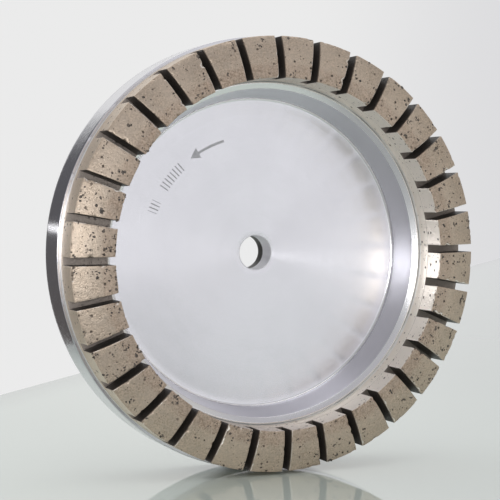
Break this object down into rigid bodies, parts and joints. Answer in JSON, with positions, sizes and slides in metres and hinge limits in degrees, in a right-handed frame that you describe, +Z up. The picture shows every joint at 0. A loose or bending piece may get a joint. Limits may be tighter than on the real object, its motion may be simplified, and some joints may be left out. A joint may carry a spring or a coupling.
{
  "type": "segmented metal-bond diamond cup wheel",
  "caption": "Segmented metal-bond diamond cup wheel for glass edging: turned aluminium cup, slotted sintered diamond ring soldered on, steel bush in the bore",
  "frame": {"origin": "on the wheel's axis, half way between the hub's back face and the highest part of the working face, which is the centre of the bounding box", "axes": "+Y along the axis of rotation, pointing out of the back of the hub; the working face looks towards -Y; +Z up when the wheel stands on its rim, +X to the right seen from the working face"},
  "size_m": [0.15, 0.0386, 0.15],
  "materials": {
    "turned_aluminium": "turned satin, polished recess wall",
    "bush_steel": "dark, as reamed",
    "solder": "rough, dull white metal",
    "sintered_backing": "fine sintered bronze-based metal powder, dull tan",
    "diamond_bond": "sintered metal bond with dark diamond grit and pores, matt"
  },
  "bodies": {
    "root": {"cup_body": "turned_aluminium", "bore_bush": "bush_steel", "solder_joint": "solder", "backing_ring": "sintered_backing", "segment_01": "diamond_bond", "segment_02": "diamond_bond", "segment_03": "diamond_bond", "segment_04": "diamond_bond", "segment_05": "diamond_bond", "segment_06": "diamond_bond", "segment_07": "diamond_bond", "segment_08": "diamond_bond", "segment_09": "diamond_bond", "segment_10": "diamond_bond", "segment_11": "diamond_bond", "segment_12": "diamond_bond", "segment_13": "diamond_bond", "segment_14": "diamond_bond", "segment_15": "diamond_bond", "segment_16": "diamond_bond", "segment_17": "diamond_bond", "segment_18": "diamond_bond", "segment_19": "diamond_bond", "segment_20": "diamond_bond", "segment_21": "diamond_bond", "segment_22": "diamond_bond", "segment_23": "diamond_bond", "segment_24": "diamond_bond", "segment_25": "diamond_bond", "segment_26": "diamond_bond", "segment_27": "diamond_bond", "segment_28": "diamond_bond", "segment_29": "diamond_bond", "segment_30": "diamond_bond", "segment_31": "diamond_bond", "segment_32": "diamond_bond"}
  },
  "joints": []
}
